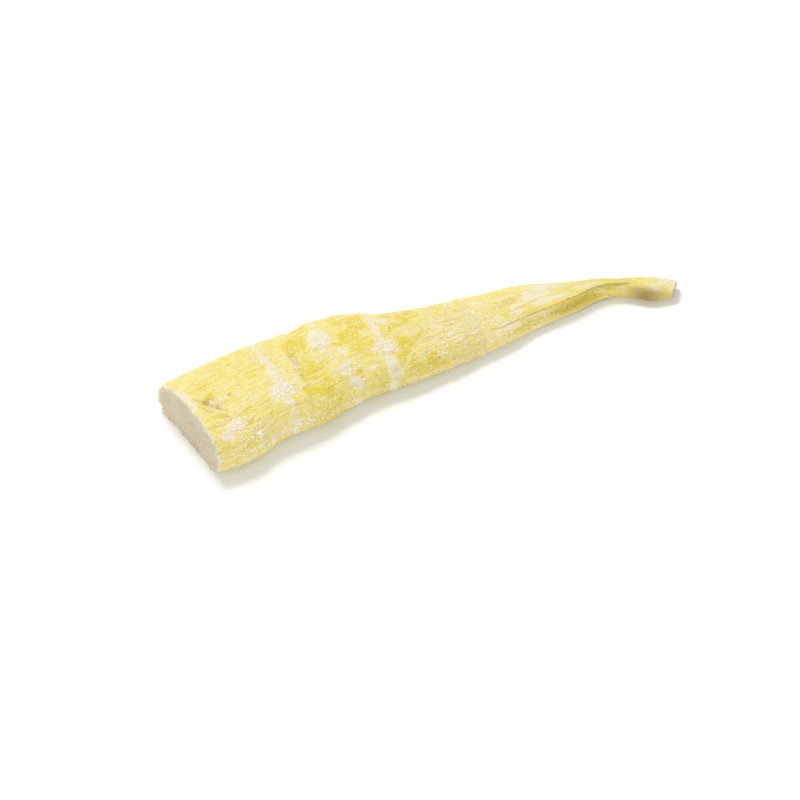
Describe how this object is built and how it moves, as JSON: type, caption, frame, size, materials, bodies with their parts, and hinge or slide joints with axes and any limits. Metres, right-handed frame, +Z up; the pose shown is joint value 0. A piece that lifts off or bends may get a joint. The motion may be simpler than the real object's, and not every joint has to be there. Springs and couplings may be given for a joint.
{
  "type": "salted bamboo shoot",
  "caption": "Salted, part-dried bamboo shoot lying flat: a solid ringed culm with a slanted knife-cut base, leaf sheaths overlapping above it and a rolled leaf as its tip.",
  "frame": {"origin": "middle of the shoot's bounding box, on the surface that it lies on", "axes": "+X along the shoot from the cut base to the tip, +Y to the side that it is bowed towards, +Z up from the flat underside"},
  "size_m": [0.2652, 0.0668, 0.0238],
  "materials": {
    "shoot_flesh": "moist, fibrous, satin",
    "sheath_leaf": "thin, waxy, satin",
    "salt": "granular, glinting"
  },
  "bodies": {
    "root": {"culm": "shoot_flesh", "upper_sheath": "sheath_leaf", "near_sheath": "sheath_leaf", "far_sheath": "sheath_leaf", "rolled_leaf": "sheath_leaf", "salt_crust_base_near": "salt", "salt_crust_base_edge": "salt", "salt_crust_base_middle": "salt", "salt_crust_first_ring_middle": "salt", "salt_crust_first_ring_far": "salt", "salt_crust_third_ring": "salt", "salt_crust_fourth_ring": "salt"}
  },
  "joints": []
}
